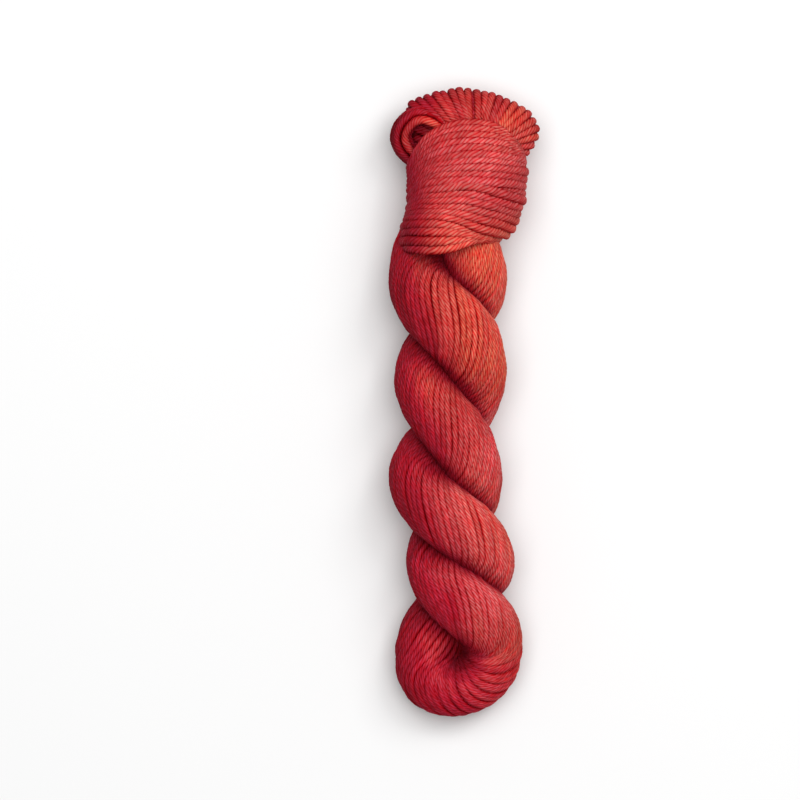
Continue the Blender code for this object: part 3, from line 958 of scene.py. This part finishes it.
def dye_range(material, noise, lowest, highest):
    """Noise between two values, as how much it darkens or lightens the dye."""
    node = material.node_tree.nodes.new("ShaderNodeMapRange")
    node.inputs["From Min"].default_value = lowest
    node.inputs["From Max"].default_value = highest
    node.inputs["To Min"].default_value = 0.86
    node.inputs["To Max"].default_value = 1.12
    material.node_tree.links.new(noise.outputs["Fac"], node.inputs["Value"])
    return node.outputs["Result"]


def wool_material():
    """Plied wool: the dye of each strand with its painted highlights and shade, a little uneven,
    with fine fibres along it.
    """
    material, shader = new_material("plied_wool", 0.48, 0.04)
    nodes, links = material.node_tree.nodes, material.node_tree.links
    dyed = nodes.new("ShaderNodeAttribute")
    dyed.attribute_name = "dye_and_painted_light"
    where = nodes.new("ShaderNodeUVMap")
    where.uv_map = "OFBake"
    stretch = nodes.new("ShaderNodeMapping")
    stretch.inputs["Scale"].default_value = (90.0, 700.0, 1.0)
    links.new(where.outputs["UV"], stretch.inputs["Vector"])
    fibre = nodes.new("ShaderNodeTexNoise")
    fibre.inputs["Scale"].default_value = 1.0
    fibre.inputs["Detail"].default_value = 3.0
    fibre.inputs["Roughness"].default_value = 0.6
    links.new(stretch.outputs["Vector"], fibre.inputs["Vector"])
    place = nodes.new("ShaderNodeTexCoord")
    mottle = nodes.new("ShaderNodeTexNoise")
    mottle.inputs["Scale"].default_value = 320.0
    mottle.inputs["Detail"].default_value = 2.0
    links.new(place.outputs["Object"], mottle.inputs["Vector"])
    both = nodes.new("ShaderNodeMath")
    both.operation = "MULTIPLY"
    links.new(dye_range(material, fibre, 0.25, 0.75), both.inputs[0])
    links.new(dye_range(material, mottle, 0.3, 0.7), both.inputs[1])
    shade = nodes.new("ShaderNodeVectorMath")
    shade.operation = "SCALE"
    links.new(dyed.outputs["Color"], shade.inputs[0])
    links.new(both.outputs["Value"], shade.inputs["Scale"])
    links.new(shade.outputs["Vector"], shader.inputs["Base Color"])
    bump = nodes.new("ShaderNodeBump")
    bump.inputs["Strength"].default_value = 0.35
    bump.inputs["Distance"].default_value = 0.0003
    links.new(fibre.outputs["Fac"], bump.inputs["Height"])
    links.new(bump.outputs["Normal"], shader.inputs["Normal"])
    return material


def core_material():
    """The turns deeper in the hank, in shadow between the outer ones: a darker colour than the
    wool over them, as painted shade.
    """
    material, shader = new_material("inner_wool", 0.9, 0.1)
    nodes, links = material.node_tree.nodes, material.node_tree.links
    place = nodes.new("ShaderNodeTexCoord")
    noise = nodes.new("ShaderNodeTexNoise")
    noise.inputs["Scale"].default_value = 400.0
    links.new(place.outputs["Object"], noise.inputs["Vector"])
    ramp_node = nodes.new("ShaderNodeValToRGB")
    darker, lighter = ramp_node.color_ramp.elements
    # painted shade: both ends are darker than the outer wool
    darker.position = 0.3
    darker.color = (0.24, 0.003, 0.008, 1.0)
    lighter.position = 0.7
    lighter.color = (0.34, 0.005, 0.011, 1.0)
    links.new(noise.outputs["Fac"], ramp_node.inputs["Fac"])
    links.new(ramp_node.outputs["Color"], shader.inputs["Base Color"])
    return material


def floor_material():
    material, shader = new_material("pale_floor", 0.9, 0.1)
    shader.inputs["Base Color"].default_value = (0.68, 0.68, 0.68, 1.0)
    return material


# ---------------------------------------------------------------- stage
def area_light(name, location, size, power):
    data = bpy.data.lights.new(name, "AREA")
    data.shape = "SQUARE"
    data.size = size
    data.energy = power
    light = bpy.data.objects.new(name, data)
    bpy.context.scene.collection.objects.link(light)
    light.location = location
    direction = Vector(LIT_POINT) - light.location
    light.rotation_euler = direction.to_track_quat("-Z", "Y").to_euler()


def stage():
    """Pale floor, soft light from the upper right and from above, and a camera overhead."""
    scene = bpy.context.scene
    scene.view_settings.view_transform = "Standard"
    scene.view_settings.look = "Medium High Contrast"
    bpy.ops.mesh.primitive_plane_add(size=8.0, location=(0.0, 0.0, 0.0))
    floor = bpy.context.object
    floor.name = "floor"
    floor.data.materials.append(floor_material())
    world = bpy.data.worlds.new("soft_room")
    scene.world = world
    world.use_nodes = True
    background = world.node_tree.nodes["Background"]
    background.inputs["Color"].default_value = (1.0, 1.0, 1.0, 1.0)
    background.inputs["Strength"].default_value = 0.26
    area_light("key", location=(1.00, 0.80, 1.50), size=0.8, power=9.3)
    area_light("top", location=(0.05, 0.50, 2.8), size=2.8, power=87.0)
    data = bpy.data.cameras.new("camera")
    camera = bpy.data.objects.new("camera", data)
    scene.collection.objects.link(camera)
    data.sensor_width = 36.0
    data.lens = data.sensor_width * CAMERA_HEIGHT / (PHOTO_PIXELS * MM_PER_PIXEL * MM)
    data.clip_end = 20.0
    right, up = (pixels * MM_PER_PIXEL * MM for pixels in VIEW_PIXELS)
    camera.location = (right, up, VIEW_HEIGHT + CAMERA_HEIGHT)
    camera.rotation_euler = (0.0, 0.0, 0.0)
    scene.camera = camera


# ---------------------------------------------------------------- the whole
WOOL = wool_material()
ROPE = rope_path()
ANGLES, RADII, PALEST, DULLEST = section()
core_piece()
rope = rope_strands(np.random.default_rng(1))
for part in range(ROPE_PIECES):
    share = [s for s in rope if s.order * ROPE_PIECES // ROPE_STRANDS == part]
    yarn_piece("rope_turns_%d" % (part + 1), share, 10 + part)
yarn_piece("collar_turns", collar_strands(np.random.default_rng(2)), 20)
yarn_piece("crown_loops", crown_strands(np.random.default_rng(3)), 30)
yarn_piece("slipped_loops", slipped_strands(np.random.default_rng(4)), 40)
stage()
